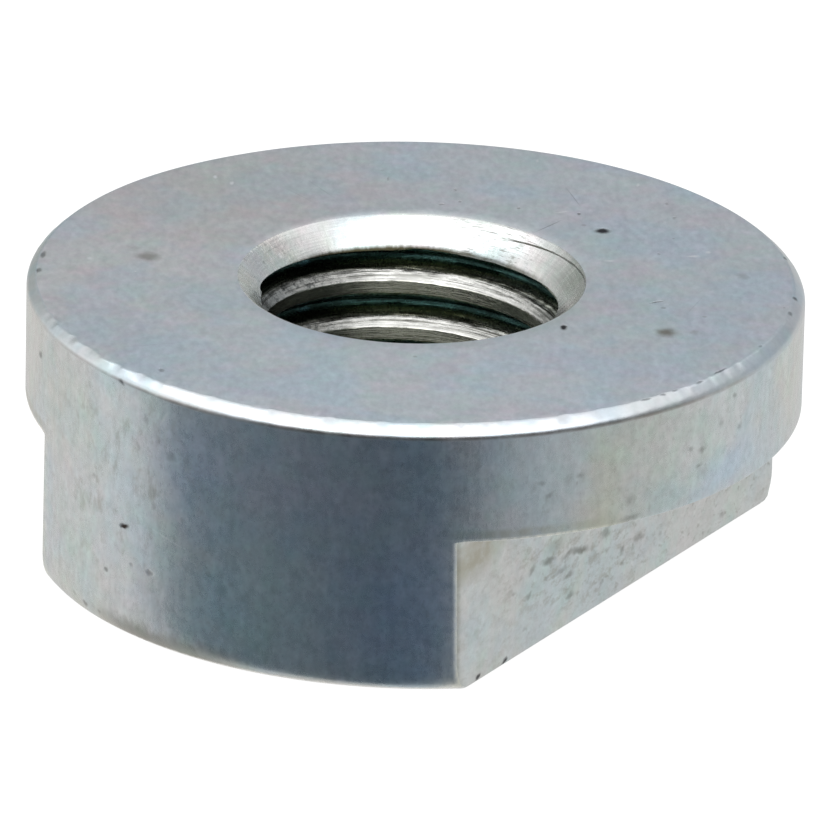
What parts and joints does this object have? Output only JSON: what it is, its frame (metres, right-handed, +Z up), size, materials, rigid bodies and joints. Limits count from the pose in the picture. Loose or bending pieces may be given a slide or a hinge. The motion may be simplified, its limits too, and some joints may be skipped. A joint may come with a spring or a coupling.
{
  "type": "round nut with milled flats",
  "caption": "Zinc-plated steel round nut: a full round head over a foot narrowed by opposite milled flats, with a countersunk tapped through hole; the flats stop it turning in a slot.",
  "frame": {"origin": "centre of the foot's end face, on the thread axis; the nut stands on this face", "axes": "+Z up along the thread axis towards the head's face; the milled flats face +X and -X"},
  "size_m": [0.027, 0.027, 0.0098],
  "materials": {
    "zinc_plated_steel": "bright zinc plate over turned and milled steel, satin, faintly mottled blue and grey, with a few stains, pits and nicks"
  },
  "bodies": {
    "root": {"round_nut": "zinc_plated_steel"}
  },
  "joints": []
}
